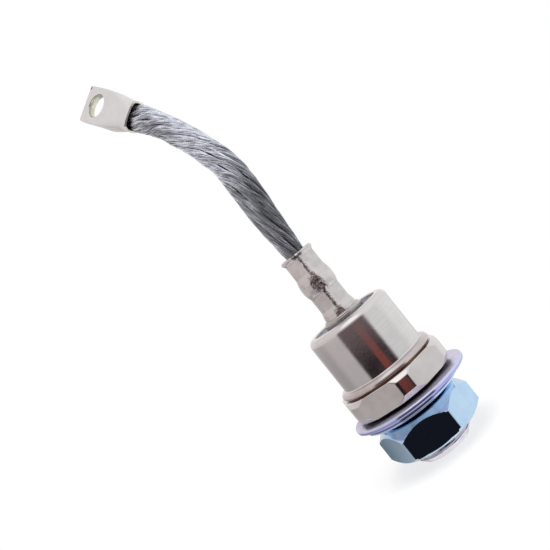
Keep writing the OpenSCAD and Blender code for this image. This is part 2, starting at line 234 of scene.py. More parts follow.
def metal(name, color, bloom, roughness, bloom_roughness, patch_scale=160, grain=0.06, grain_scale=5200,
          lines=0.0, line_color=None, line_depth=0.00004, line_scale=2600):
    """A plated metal with the mottle and, where lines is over 0, turning marks of that strength."""
    material = bpy.data.materials.new(name)
    material.use_nodes = True
    tree = material.node_tree
    shader = tree.nodes["Principled BSDF"]
    shader.inputs["Metallic"].default_value = 1.0
    surface = add(tree, "ShaderNodeGroup",
                  {"Color": color, "Bloom": bloom, "Patch Scale": patch_scale, "Roughness": roughness,
                   "Bloom Roughness": bloom_roughness, "Grain Scale": grain_scale}, node_tree=mottle)
    tint = surface.outputs["Color"]
    bump = add(tree, "ShaderNodeBump", {"Height": surface.outputs["Grain"], "Strength": grain,
                                        "Distance": 0.00005})
    if lines > 0:
        rings = add(tree, "ShaderNodeGroup", {"Lines": line_scale}, node_tree=marks)
        tint = mix_colors(tree, rings.outputs["Shade"], tint, line_color)
        bump = add(tree, "ShaderNodeBump", {"Height": rings.outputs["Height"], "Strength": lines,
                                            "Distance": line_depth, "Normal": bump.outputs["Normal"]})
    tree.links.new(tint, shader.inputs["Base Color"])
    tree.links.new(surface.outputs["Roughness"], shader.inputs["Roughness"])
    tree.links.new(bump.outputs["Normal"], shader.inputs["Normal"])
    return material


stud_base.data.materials.append(metal("nickel_base", srgb(221, 217, 216), srgb(209, 204, 203), 0.1, 0.17))
# The seat's wall and the hexagon's underside are painted near black, as painted shade in the gap under the
# hexagon.
stud_base.data.materials.append(metal("seat_gap_shade", srgb(26, 22, 24), srgb(16, 14, 16), 0.5, 0.65))
# The stud has kept the cool shine of new plating.
stud_base.data.materials.append(metal("nickel_stud", srgb(226, 224, 232), srgb(212, 210, 222), 0.1, 0.17))
shaded_rim_w = 0.3
for face in stud_base.data.polygons:
    outside = face.center.to_2d().length > (seat_r - shaded_rim_w) * MM
    if outside and -NEAR * MM < face.center.z < (seat_h + NEAR) * MM:
        face.material_index = 1
    elif face.center.z < 0:
        face.material_index = 2
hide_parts("stud_base")
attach(stud_base, "root")


# Weld ring
# A thin steel ring is brazed to the copper, because steel welds to the can's flange and copper doesn't.
# Its edge is the dark seam under the flange.
weld_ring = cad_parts["weld_ring"]
weld_ring.data.materials.clear()
weld_ring.data.materials.append(metal("burnt_steel", srgb(124, 96, 78), srgb(92, 68, 56), 0.35, 0.5))


# Wafer stack
# Two molybdenum plates hold the silicon wafer between the copper pad and the contact cup, so that
# it isn't cracked as the copper grows with heat. A soft copper rope runs from the cup to the tube.
stack_finishes = {
    "lower_plate": metal("ground_molybdenum_lower", srgb(150, 150, 154), srgb(132, 132, 138), 0.3, 0.4),
    "silicon_wafer": metal("lapped_silicon", srgb(96, 98, 112), srgb(84, 86, 102), 0.12, 0.2),
    "upper_plate": metal("ground_molybdenum_upper", srgb(150, 150, 154), srgb(132, 132, 138), 0.3, 0.4),
    "contact_cup": metal("copper_cup", srgb(206, 138, 104), srgb(178, 106, 76), 0.25, 0.38),
    "inner_rope": metal("copper_rope", srgb(200, 130, 98), srgb(160, 94, 66), 0.3, 0.45, patch_scale=900),
}
for node, finish in stack_finishes.items():
    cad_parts[node].data.materials.clear()
    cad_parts[node].data.materials.append(finish)


# Can
# The can is drawn from steel with a flange at its foot, which is resistance welded to the weld ring.
# It is nickel plated to a satin and closes the wafer in; its thick rim holds the glass.
can_low, can_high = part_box("can")
can_foot = can_low.z / MM
can_top = can_high.z / MM
can_r = 13.5
can_edge_r = 2
flange_r = can_high.x / MM
flange_h = 1.65
flange_edge_r = 1.35
chamber_r = 12.3
opening_r = 10.7
rim_depth = 6.6
# A point this far past each end of an arc keeps the shading of the flat beside it flat.
arc_support = 0.02


def rounded(corners, steps=6):
    """A profile of (radius, height, rounding) corners with each rounding turned into an arc."""
    profile = []
    for i, (r, z, fillet) in enumerate(corners):
        here = Vector((r, z))
        if fillet == 0:
            profile.append((r, z))
            continue
        before = (Vector(corners[i - 1][:2]) - here).normalized()
        after = (Vector(corners[(i + 1) % len(corners)][:2]) - here).normalized()
        half = before.angle(after) / 2
        middle = here + (before + after).normalized() * (fillet / math.sin(half))
        start = here + before * (fillet / math.tan(half)) - middle
        end = here + after * (fillet / math.tan(half)) - middle
        profile.append(tuple(middle + start + before * arc_support))
        for s in range(steps + 1):
            profile.append(tuple(middle + start.slerp(end, s / steps) * fillet))
        profile.append(tuple(middle + end + after * arc_support))
    return profile


flange_top = can_foot + flange_h
chamber_top = can_top - rim_depth
can = ring_piece("can_shell", rounded([
    (chamber_r, can_foot, 0), (flange_r, can_foot, 0.15), (flange_r, flange_top, flange_edge_r),
    (can_r, flange_top, 0.3), (can_r, can_top, can_edge_r), (opening_r, can_top, 0.3),
    (opening_r, chamber_top, 0), (chamber_r, chamber_top, 0.5),
], steps=10), loop=True)
can.data.materials.append(
    metal("nickel_can", srgb(221, 218, 218), srgb(210, 206, 206), 0.1, 0.17, grain=0.12, grain_scale=1100,
          lines=0.03, line_color=srgb(211, 208, 208)))
# The weld has dulled the flange, from a little outside the can's wall.
can.data.materials.append(
    metal("dulled_nickel", srgb(206, 197, 197), srgb(190, 180, 180), 0.12, 0.2, grain=0.2, grain_scale=2600))
dulled_r = can_r + 0.2
for face in can.data.polygons:
    if face.center.z < (flange_top + NEAR) * MM and face.center.to_2d().length > dulled_r * MM:
        face.material_index = 1
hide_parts("can")
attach(can, "root")


# Glass seal
# Dark blue glass is fused between the can's rim and the sleeve. It keeps the can tight and insulates
# the terminal, and its surface sags a little between the two metals that it wets.
glass_low, glass_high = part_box("glass_seal")
glass_r = glass_high.x / MM
glass_foot = glass_low.z / MM
glass_top = glass_high.z / MM
sleeve_wall_r = 6.15
sags = [(7.2, 0.12), (8.4, 0.2), (9.6, 0.12)]
glass_rings = [(sleeve_wall_r, glass_foot), (sleeve_wall_r, glass_top)]
glass_rings += [(r, glass_top - sag) for r, sag in sags]
glass_rings += [(glass_r, glass_top), (glass_r, glass_foot)]
glass = ring_piece("glass_ring", glass_rings, loop=True)
glass_finish = bpy.data.materials.new("fused_glass")
glass_finish.use_nodes = True
tree = glass_finish.node_tree
shader = tree.nodes["Principled BSDF"]
shader.inputs["IOR"].default_value = 1.9
surface = add(tree, "ShaderNodeGroup",
              {"Color": srgb(62, 66, 102), "Bloom": srgb(36, 40, 74), "Patch Scale": 420,
               "Roughness": 0.06, "Bloom Roughness": 0.16}, node_tree=mottle)
tree.links.new(surface.outputs["Color"], shader.inputs["Base Color"])
tree.links.new(surface.outputs["Roughness"], shader.inputs["Roughness"])
glass.data.materials.append(glass_finish)
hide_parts("glass_seal")
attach(glass, "root")


# Seal sleeve
# A stepped metal sleeve is fused into the glass, and the terminal tube is brazed inside it.
# Its collar lies on the glass.
sleeve_low, sleeve_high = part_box("seal_sleeve")
collar_r = sleeve_high.x / MM
sleeve_foot = sleeve_low.z / MM
sleeve_top = sleeve_high.z / MM
sleeve_r = 6.1
sleeve_bore_r = 5.45
collar_h = 1.45
collar_top = glass_top + collar_h
lip_r = 0.45
sleeve = ring_piece("collar", rounded([
    (sleeve_bore_r, sleeve_foot, 0), (sleeve_r, sleeve_foot, 0), (sleeve_r, glass_top, 0),
    (collar_r, glass_top, 0.05), (collar_r, collar_top, 0.1), (sleeve_r, collar_top, 0.1),
    (sleeve_r, sleeve_top, lip_r), (sleeve_bore_r, sleeve_top, 0.1),
]), loop=True)
sleeve.data.materials.append(metal("nickel_collar", srgb(200, 196, 195), srgb(182, 177, 176), 0.26, 0.36))
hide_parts("seal_sleeve")
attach(sleeve, "root")


# Terminal tube
# A nickel-plated tube stands in the sleeve. Both ropes meet inside it, and a tool with six jaws
# has crimped it on to each of them, which leaves two bands of flats with sloping ends.
tube_low, tube_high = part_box("terminal_tube")
tube_foot = tube_low.z / MM
tube_top = tube_high.z / MM
tube_r = 5.4
tube_bore_r = 3.5
wall_start = sleeve_top - 1
wall_ring_count = 140
crimp_flat = 4.75
crimp_len = 4.7
crimp_gap = 7.2
crimp_from_mouth = 1.8
crimp_top_slopes = [0.9, 1.9]
crimp_foot_slope = 2.4
crimp_rounding = 0.45
upper_crimp = tube_top - crimp_from_mouth - crimp_len
crimp_starts = [upper_crimp, upper_crimp - crimp_gap - crimp_len]
mouth_break = 0.5
# A point on the round of the mouth's outer edge, as it turns in.
mouth_turn_in = 0.45 * mouth_break
mouth_turn_down = 0.4 * mouth_break


def crimp_reach(z):
    """Distance from the axis to the crimp flats at a height, past the tube's own wall outside the crimps."""
    out = min(max((start - z) / crimp_foot_slope, (z - start - crimp_len) / top_slope, 0)
              for start, top_slope in zip(crimp_starts, crimp_top_slopes))
    eased = out * out * (3 - 2 * out) if out < 1 else 2 * out - 1
    return crimp_flat + eased * (tube_r - crimp_flat)


tube_rings = [(tube_bore_r, tube_foot), (tube_r, tube_foot)]
flat_angles = np.cos((AROUND + SIXTH / 2) % SIXTH - SIXTH / 2)
for z in np.linspace(wall_start, tube_top - mouth_break, wall_ring_count):
    reach = soft_min([crimp_reach(z) / flat_angles, np.full(SIDES, tube_r)], crimp_rounding)
    tube_rings.append((reach, z))
tube_rings += [(tube_r - mouth_turn_in, tube_top - mouth_turn_down), (tube_r - mouth_break, tube_top)]
tube_rings += [(tube_bore_r + mouth_break, tube_top), (tube_bore_r, tube_top - mouth_break)]
tube = ring_piece("crimped_tube", tube_rings, loop=True)
tube_finish = metal("nickel_tube", srgb(213, 209, 209), srgb(197, 191, 190), 0.12, 0.22, patch_scale=260)

# The metal squeezed out between the jaws is pitted, and painted darker in its pits, most on the front. The
# flats are smooth.
# The darkening's place round the tube is in degrees from the front, and its heights are in millimetres.
squeezed_r = 5.06
squeezed_fade = 0.1
darkest_at = -5
darkening_half_widths = [14, 32]
darkening_heights = [29, 31, 33, 37, 41, 42.5, 44, 48.5, 49.5, 51]
darkening_amounts = [0.8, 0.88, 1.0, 1.06, 0.98, 0.9, 0.82, 0.86, 1.05, 1.05]
tube_points = np.array([vertex.co for vertex in tube.data.vertices]) / MM
squeezed = np.clip((np.hypot(tube_points[:, 0], tube_points[:, 1]) - squeezed_r) / squeezed_fade, 0, 1)
from_front = np.degrees(np.arctan2(tube_points[:, 0], -tube_points[:, 1]))
at_front = np.interp(np.abs(from_front - darkest_at), darkening_half_widths, [1, 0.4])
darker_with_height = np.interp(tube_points[:, 2], darkening_heights, darkening_amounts)
pit_darkening = tube.data.attributes.new("pit_darkening", "FLOAT", "POINT")
pit_darkening.data.foreach_set("value", squeezed * darker_with_height * at_front)
tree = tube_finish.node_tree
shader = tree.nodes["Principled BSDF"]
pit_darkening_share = add(tree, "ShaderNodeAttribute", attribute_name="pit_darkening").outputs["Fac"]
tube_at = add(tree, "ShaderNodeTexCoord").outputs["Object"]
pits = add(tree, "ShaderNodeTexNoise", {"Vector": tube_at, "Scale": 1050.0, "Detail": 3.0}).outputs["Fac"]
pitted = add(tree, "ShaderNodeMath", {0: pits, 1: pit_darkening_share}, operation="MULTIPLY").outputs["Value"]
plated_normal = shader.inputs["Normal"].links[0].from_socket
pit_bump = add(tree, "ShaderNodeBump", {"Height": pitted, "Strength": 1.0, "Distance": 0.00022,
                                        "Normal": plated_normal})
tree.links.new(pit_bump.outputs["Normal"], shader.inputs["Normal"])
dark_share = add(tree, "ShaderNodeMapRange", {"Value": pitted, "From Min": 0.45, "From Max": 0.62, "To Max": 0.8})
plated_color = shader.inputs["Base Color"].links[0].from_socket
darkened_color = mix_colors(tree, dark_share.outputs["Result"], plated_color, srgb(70, 54, 52))
tree.links.new(darkened_color, shader.inputs["Base Color"])
tube.data.materials.append(tube_finish)
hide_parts("terminal_tube")
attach(tube, "root")


# Flexible lead
# The lead is a rope of tinned copper: twelve bundles of fine wires laid round a core, left hand lay.
# Its lower end is crimped in the tube and its upper end is pressed into the lug.
LEAD_ROUTE = [
    (0, 0, 40), (0, 0, 46), (0, 0, 52), (0, 0.1, 58), (0.1, 0.5, 64), (0.4, 1.4, 70),
    (0.6, 2.9, 75.8), (0.6, 5, 81.4), (0.2, 7.4, 86.6), (-0.9, 10, 91.7), (-2.3, 12.7, 96.8),
    (-4, 15.6, 101.8), (-5.9, 18.7, 106.6), (-7.9, 21.9, 111), (-9.9, 25, 114.9),
    (-11.7, 27.8, 118.2), (-14.6, 33.2, 123.4),
]
lead_tube_d = 6.3
lead_lug_d = 8.1
bundle_count = 12
wires_in_bundle = 11
wire_sides = 5
core_sides = 16
ring_step = 0.85
steps_in_span = 24
rope_lay = 85.0
bundle_lay = 24.0


def smooth_line(route, step):
    """Points a step apart along a smooth curve through the route, with the curve's directions."""
    knots = np.array(route, float)
    padded = np.vstack([2 * knots[0] - knots[1], knots, 2 * knots[-1] - knots[-2]])
    fine = []
    for i in range(len(knots) - 1):
        a, b, c, d = padded[i:i + 4]
        for t in np.linspace(0, 1, steps_in_span, endpoint=False):
            fine.append(0.5 * (2 * b + (c - a) * t + (2 * a - 5 * b + 4 * c - d) * t * t
                               + (3 * b - a - 3 * c + d) * t ** 3))
    fine.append(knots[-1])
    fine = np.array(fine)
    run = np.concatenate([[0], np.cumsum(np.linalg.norm(np.diff(fine, axis=0), axis=1))])
    count = int(run[-1] / step) + 1
    at = np.linspace(0, run[-1], count)
    line = np.stack([np.interp(at, run, fine[:, k]) for k in range(3)], axis=1)
    ways = np.gradient(line, axis=0)
    return line, ways / np.linalg.norm(ways, axis=1)[:, None], at


lead_line, lead_ways, lead_run = smooth_line(LEAD_ROUTE, ring_step)
lead_length = lead_run[-1]
rope_rings = len(lead_line)

# The lug is turned about its axis, and it and the rope in it are pressed flat along one direction.
lug_turn = math.radians(47.5)
lug_way = Vector(LEAD_ROUTE[-1]) - Vector(LEAD_ROUTE[-2])
lug_frame = (Matrix.Rotation(math.atan2(lug_way.y, lug_way.x), 4, "Z")
             @ Matrix.Rotation(math.acos(lug_way.normalized().z), 4, "Y")
             @ Matrix.Rotation(lug_turn, 4, "Z"))
press_way = np.array(lug_frame.col[1][:3])
spread_way = np.array(lug_frame.col[0][:3])
past_lug_mouth = lead_run - (lead_length - lug_way.length)
rope_press = np.interp(past_lug_mouth, [-6, 0], [0, 0.46])
rope_spread = np.interp(past_lug_mouth, [-12, -1.5, 0], [0, 0.13, 0.02])


def pressed(points):
    """Rings of points round the lead, flattened where the lug holds it and spread in front of its mouth."""
    from_line = points - lead_line[:, None, :]
    flatter = (from_line @ press_way * rope_press[:, None])[:, :, None] * press_way
    wider = (from_line @ spread_way * rope_spread[:, None])[:, :, None] * spread_way
    return points - flatter + wider


def ring_ways(sides, first_way, second_way):
    """Directions from the middle of each ring along the lead to its points, in the plane of two ways."""
    turns = np.linspace(0, 2 * math.pi, sides, endpoint=False)
    return (np.cos(turns)[None, :, None] * first_way[:, None, :]
            + np.sin(turns)[None, :, None] * second_way[:, None, :])


def tube_faces(first, sides):
    """Faces of a closed tube along the lead, whose points lie ring by ring from a first one on."""
    faces = []
    for i in range(rope_rings - 1):
        low = first + i * sides
        for k in range(sides):
            next_k = (k + 1) % sides
            faces.append((low + k, low + next_k, low + sides + next_k, low + sides + k))
    top = first + (rope_rings - 1) * sides
    faces.append(tuple(first + k for k in reversed(range(sides))))
    faces.append(tuple(top + k for k in range(sides)))
    return faces


# The frame across the lead is carried along it without twisting.
across = [np.array([1.0, 0, 0])]
for lead_way in lead_ways[1:]:
    carried = across[-1] - lead_way * np.dot(across[-1], lead_way)
    across.append(carried / np.linalg.norm(carried))
across = np.array(across)
aside = np.cross(lead_ways, across)

# The rope is squeezed in the tube and in the lug, and fullest a little below its middle.
swell = np.interp(lead_run, [0, 11, 17, 24, 34, 40, 48, 80, 89, lead_length],
                  [lead_tube_d, lead_tube_d, 7.5, 8.3, 8.8, 9.2, 8.6, 8.2, 8.1, lead_lug_d]) / 2
# The bundles are a little thicker than fit side by side, so they press into each other.
crowding = 1.04
bundle_r = swell / (1 + bundle_count / math.pi) * crowding
wire_r = 0.23 * bundle_r
core_r = swell - 1.15 * bundle_r
# The rope is painted bright on its upper half and darker towards the tube.
rope_tone = np.interp(lead_run, [0, 16, 19, 28, 31, 35, 40, 46, 52, 60, 66, 72, lead_length],
                      [0.5, 0.5, 0.44, 0.5, 0.43, 0.52, 0.6, 0.86, 1.05, 1.14, 0.9, 0.86, 0.88])
brightest = 1.15
tone_swing = np.interp(lead_run, [28, 44], [0.65, 1])
# Painted light and shade: seen from the front, its left side is painted brighter as far as the bend, and its
# right side past it.
painted_light_lean = np.interp(lead_run, [13, 37, 42, 47, 53, 58, 64, 70],
                      [-0.1, -0.2, -0.36, -0.36, -0.15, 0, 0.14, 0.26])
painted_light_way = np.cross(lead_ways, [0, -1, 0])
draw = random.Random(7)


def ripple(amount, shortest, longest):
    """A random wave along the lead, of a given height and with its length drawn from a range."""
    return amount * np.sin(lead_run / draw.uniform(shortest, longest) + draw.uniform(0, 6))


wire_tones = []
rope_points = []
rope_faces = []
for bundle in range(bundle_count):
    jitter = draw.uniform(-0.05, 0.05)
    lift = 1 + draw.uniform(-0.05, 0.03) + ripple(0.03, 6, 11)
    stray = ripple(0.07, 1.6, 3.2)
    bundle_turn = 2 * math.pi * (bundle / bundle_count - lead_run / rope_lay) + jitter + stray
    outward = np.cos(bundle_turn)[:, None] * across + np.sin(bundle_turn)[:, None] * aside
    sideward = np.cross(lead_ways, outward)
    bundle_tone = rope_tone * (1 + painted_light_lean * np.sum(outward * painted_light_way, axis=1))
    bundle_tone = bundle_tone * (1 + ripple(0.14, 1.5, 4))
    bundle_line = lead_line + outward * ((swell - bundle_r) * lift)[:, None]
    wire_rim = ring_ways(wire_sides, outward, sideward) * wire_r[:, None, None]
    twist_start = draw.uniform(0, 2 * math.pi)
    for wire in range(wires_in_bundle):
        wave = ripple(0.05, 3, 6)
        wire_turn = twist_start + 2 * math.pi * (wire + draw.uniform(-0.12, 0.12)) / wires_in_bundle
        wire_turn = wire_turn - 2 * math.pi * lead_run / bundle_lay + wave
        spoke = (bundle_r - wire_r) * (1 + ripple(0.06, 2.5, 5))
        wire_way = np.cos(wire_turn)[:, None] * outward + np.sin(wire_turn)[:, None] * sideward
        wire_line = bundle_line + wire_way * spoke[:, None]
        rope_faces += tube_faces(len(rope_points) * rope_rings * wire_sides, wire_sides)
        rope_points.append(pressed(wire_line[:, None, :] + wire_rim).reshape(-1, 3))
        # Painted glints: each wire's tone rises and falls along it, standing in for highlights.
        slow_painted_glint = ripple(0.25, 2, 5)
        quick_painted_glint = ripple(0.3, 0.6, 1.4)
        painted_glint = 1 + tone_swing * (slow_painted_glint + quick_painted_glint)
        tones = np.minimum(bundle_tone * painted_glint * draw.uniform(0.7, 1.3), brightest)
        wire_tones.append(np.repeat(tones, wire_sides))
rope = mesh_piece("lead_wires", np.concatenate(rope_points), rope_faces)
wire_tone = rope.data.attributes.new("tone", "FLOAT", "POINT")
wire_tone.data.foreach_set("value", np.concatenate(wire_tones))
wire_finish = metal("tinned_wire", srgb(234, 238, 248), srgb(206, 210, 221), 0.24, 0.36, patch_scale=700,
                    grain=0.1)
tree = wire_finish.node_tree
base_color = tree.nodes["Principled BSDF"].inputs["Base Color"]
tone = add(tree, "ShaderNodeAttribute", attribute_name="tone").outputs["Fac"]
toned = mix_colors(tree, 1.0, base_color.links[0].from_socket, tone, blend_type="MULTIPLY")
tree.links.new(toned, base_color)
rope.data.materials.append(wire_finish)

# The core fills the rope inside its bundles, and only shows in the gaps between them, where it is painted
# dark as their shade.
core_points = lead_line[:, None, :] + ring_ways(core_sides, across, aside) * core_r[:, None, None]
core = mesh_piece("lead_core", pressed(core_points).reshape(-1, 3), tube_faces(0, core_sides))
core.data.materials.append(metal("core_gap_shade", srgb(70, 72, 80), srgb(40, 42, 48), 0.5, 0.7, patch_scale=900))
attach(core, "root")
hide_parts("lead_rope")
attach(rope, "root")


# Terminal lug
# The lug is a tinned tube, pressed flat on the rope and flatter still in front of it, so that its tongue
# is flush with the barrel's face. The tongue is trimmed with round corners and punched for a screw.
lug_len = 26.6
lug_r = 5.2
lug_half_h = 3.3
lug_bore_r = 4.4
lug_bore_half_h = 2.6
lug_bore_depth = 8.1
bore_flare = 0.2
bore_flare_len = 0.4
mouth_len = 3
mouth_edge_r = 1.8
mouth_bevel = 0.25
mouth_bevel_len = 0.2
tongue_len = 12.5
tongue_root = lug_len - tongue_len
step_start = 9.6
step_end = tongue_root + 0.5
tongue_half_w = 6.4
tongue_h = 2.6
tongue_corner_r = 1.5
lug_edge_r = 0.6
tip_break = 0.3
tip_break_len = 0.4
lug_spread = 0.65
lug_hole_r = 4
hole_from_tip = 7.2
lug_hole_at = Vector((0, lug_half_h - tongue_h / 2, lug_len - hole_from_tip)) * MM
hole_break = 0.25
punch_past = 0.05


def ease(a, b, t):
    """A smooth change from a to b as t goes from 0 to 1."""
    t = min(max(t, 0), 1)
    return a + (b - a) * t * t * (3 - 2 * t)


def lug_middle(t):
    """Height of the middle between the lug's flat face and its back, a distance from its mouth."""
    back = ease(-lug_half_h, lug_half_h - tongue_h, (t - step_start) / (step_end - step_start))
    return (lug_half_h + back) / 2


up_down = np.maximum(np.abs(np.sin(AROUND)), 1e-4)
left_right = np.maximum(np.abs(np.cos(AROUND)), 1e-4)
bore = soft_min([np.full(SIDES, lug_bore_r), lug_bore_half_h / up_down], mouth_edge_r)
mouth = soft_min([np.full(SIDES, lug_r), lug_half_h / up_down], mouth_edge_r)
lug_rings = [(bore, lug_bore_depth), (bore, bore_flare_len), (bore + bore_flare, 0)]
lug_rings.append((mouth - mouth_bevel, 0))
corner_start = lug_len - tongue_corner_r
straight_runs = np.linspace(mouth_bevel_len, corner_start, 100)
corner_runs = lug_len - tongue_corner_r * (1 - np.sin(np.linspace(0.08, math.pi / 2, 14)))
for t in np.concatenate([straight_runs, corner_runs]):
    middle_y = lug_middle(t)
    wider = max((t - mouth_len) / (tongue_root - mouth_len), 0)
    round_r = lug_r + (tongue_half_w + lug_spread - lug_r) * wider
    round_reach = np.sqrt(round_r ** 2 - (middle_y * left_right) ** 2) - middle_y * np.sin(AROUND)
    into_corner = max(t - corner_start, 0)
    corner_w = math.sqrt(max(tongue_corner_r ** 2 - into_corner ** 2, 0))
    half_w = tongue_half_w - tongue_corner_r + corner_w
    half_h = lug_half_h - middle_y - ease(0, tip_break, (t - lug_len + tip_break_len) / tip_break_len)
    edge_r = ease(mouth_edge_r, lug_edge_r, t / tongue_root)
    lug_rings.append((soft_min([half_h / up_down, round_reach, half_w / left_right], edge_r), t))
lug = ring_piece("crimp_lug", lug_rings)
for vertex in lug.data.vertices:
    vertex.co.y += lug_middle(vertex.co.z / MM) * MM
punch_half_h = tongue_h / 2 + punch_past
hole_half_h = tongue_h / 2 - hole_break
punch = ring_piece("lug_punch", [(lug_hole_r + hole_break, -punch_half_h), (lug_hole_r, -hole_half_h),
                                 (lug_hole_r, hole_half_h), (lug_hole_r + hole_break, punch_half_h)])
punch.data.transform(Matrix.Translation(lug_hole_at) @ Matrix.Rotation(math.pi / 2, 4, "X"))
cut = lug.modifiers.new("hole", "BOOLEAN")
cut.operation = "DIFFERENCE"
cut.solver = "EXACT"
cut.object = punch
bpy.context.view_layer.update()
lug.data = bpy.data.meshes.new_from_object(lug.evaluated_get(bpy.context.evaluated_depsgraph_get()))
lug.modifiers.clear()
bpy.data.objects.remove(punch)
lug.data.materials.append(
    metal("tinned_lug", srgb(230, 228, 229), srgb(222, 220, 222), 0.3, 0.4, patch_scale=220))
# The cut edges at the mouth and in the hole show the yellowish metal under the tin.
lug.data.materials.append(
    metal("cut_edge", srgb(230, 228, 214), srgb(196, 194, 180), 0.22, 0.35, patch_scale=500))
# A small spot at one corner of the tongue is painted dark.
lug.data.materials.append(
    metal("dark_corner_spot", srgb(120, 122, 124), srgb(96, 98, 100), 0.3, 0.45, patch_scale=500))
dark_spot_at = Vector((0.7 - tongue_half_w, lug_half_h, lug_len - 0.5)) * MM
dark_spot_r = 0.75
hole_edge_r = lug_hole_r + 0.3
mouth_edge_len = 0.12
# A face lies flat to a direction where its normal has more than this share along it.
FLAT = 0.9
for face in lug.data.polygons:
    if (face.center - dark_spot_at).length < dark_spot_r * MM:
        face.material_index = 2
    from_hole = (face.center - lug_hole_at).xz.length
    in_hole = from_hole < hole_edge_r * MM and abs(face.normal.y) < FLAT
    if in_hole or face.center.z < mouth_edge_len * MM:
        face.material_index = 1
lug.data.transform(Matrix.Translation(Vector(LEAD_ROUTE[-2]) * MM) @ lug_frame)
lug.data.shade_smooth()
lug.data.set_sharp_from_angle(angle=SHARP_ANGLE)
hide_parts("terminal_lug")
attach(lug, "root")


# Flat washer
# A stamped steel washer, bright zinc plated, lies against the seat. It hangs to one side of the stud
# by its play.
washer_low, washer_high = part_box("flat_washer")
washer_r = (washer_high.x - washer_low.x) / 2 / MM
washer_foot = washer_low.z / MM
washer_bore_r = 10.325
washer_edge_r = 0.45
washer = ring_piece("washer_disc", rounded([
    (washer_bore_r, washer_foot, 0.15), (washer_r, washer_foot, washer_edge_r),
    (washer_r, 0, washer_edge_r), (washer_bore_r, 0, 0.3),
]), loop=True)
washer.data.transform(Matrix.Translation(((washer_high.x + washer_low.x) / 2, 0, 0)))
washer.data.materials.append(
    metal("zinc_rim", srgb(208, 214, 244), srgb(194, 200, 236), 0.08, 0.14, patch_scale=300, lines=1.0,
          line_color=srgb(98, 108, 196), line_depth=0.00016, line_scale=1500))
# Its faces are duller than its rim, with a milky film on the zinc.
washer_finish = metal("zinc_washer", srgb(206, 200, 222), srgb(190, 184, 210), 0.3, 0.38, patch_scale=300)
washer_finish.node_tree.nodes["Principled BSDF"].inputs["Metallic"].default_value = 0.7
washer.data.materials.append(washer_finish)
for face in washer.data.polygons:
    if abs(face.normal.z) > FLAT:
        face.material_index = 1
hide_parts("flat_washer")
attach(washer, "root")


# Spring washer
# A conical spring washer keeps the joint tight as it heats and cools. Its wide edge is on the flat
# washer and its narrow edge is on the nut.
spring_low, spring_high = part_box("spring_washer")
spring_r = spring_high.x / MM
spring_foot = spring_low.z / MM
spring_head = spring_high.z / MM
spring_bore_r = 9.925
spring_h = 1.7
spring_seat_w = 0.8
spring_rim_w = 0.26
spring = ring_piece("spring_cone", rounded([
    (spring_bore_r, spring_foot, 0.1), (spring_bore_r + spring_seat_w, spring_foot, 0.15),
    (spring_r, spring_head - spring_h, 0.25), (spring_r, spring_head, 0.25),
    (spring_r - spring_seat_w, spring_head, 0.1), (spring_bore_r, spring_foot + spring_h, 0.1),
]), loop=True)
spring.data.materials.append(
    metal("zinc_spring", srgb(226, 236, 250), srgb(212, 226, 246), 0.1, 0.16, patch_scale=300, lines=1.0,
          line_color=srgb(100, 112, 196), line_depth=0.00014, line_scale=1500))
# Only its rim is turned: the cone is as pressed, and smooth.
spring.data.materials.append(
    metal("pressed_zinc", srgb(226, 236, 250), srgb(212, 226, 246), 0.08, 0.14, patch_scale=300))
for face in spring.data.polygons:
    if face.center.to_2d().length < (spring_r - spring_rim_w) * MM:
        face.material_index = 1
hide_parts("spring_washer")
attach(spring, "root")


# Hexagon nut
# A thin steel nut, cut from bar and chamfered on both ends, then blue zinc plated. It clamps the
# washers and the heat sink against the seat.
nut_low, nut_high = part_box("hex_nut")
nut_foot = nut_low.z / MM
nut_head = nut_high.z / MM
nut_af = 27.25
nut_corner_at = -10 - 60
nut_corner_rounding = 0.45
nut_face_r = 12.8
nut_upper_slope = 1 / math.tan(math.radians(46))
nut_lower_slope = 1 / math.tan(math.radians(30))
nut_upper_rounding = 0.015
nut_lower_rounding = 0.3
nut_bore_r = 9.575
nut_countersink = 0.8
# The rings lie close together where the chamfers cut the flats.
nut_heights = np.concatenate([np.linspace(nut_foot, nut_foot + 2, 50),
                              np.linspace(nut_head - 3.6, nut_head, 90)])
nut_reaches = hexagon_reach(nut_af, nut_corner_at, nut_corner_rounding)
nut_rings = [(nut_bore_r, nut_foot + nut_countersink), (nut_bore_r + nut_countersink, nut_foot)]
for z in nut_heights:
    from_end = min(z - nut_foot, nut_head - z)
    lower_cone = np.full(SIDES, nut_face_r + nut_lower_slope * (z - nut_foot))
    upper_cone = np.full(SIDES, nut_face_r + nut_upper_slope * (nut_head - z))
    chamfered = soft_min([nut_reaches, lower_cone], nut_lower_rounding)
    reach = soft_min([chamfered, upper_cone], nut_upper_rounding)
    nut_rings.append((reach - max(edge_break - from_end, 0), z))
nut_rings += [(nut_bore_r + nut_countersink, nut_head), (nut_bore_r, nut_head - nut_countersink)]
nut = ring_piece("hexagon_nut", nut_rings, loop=True)

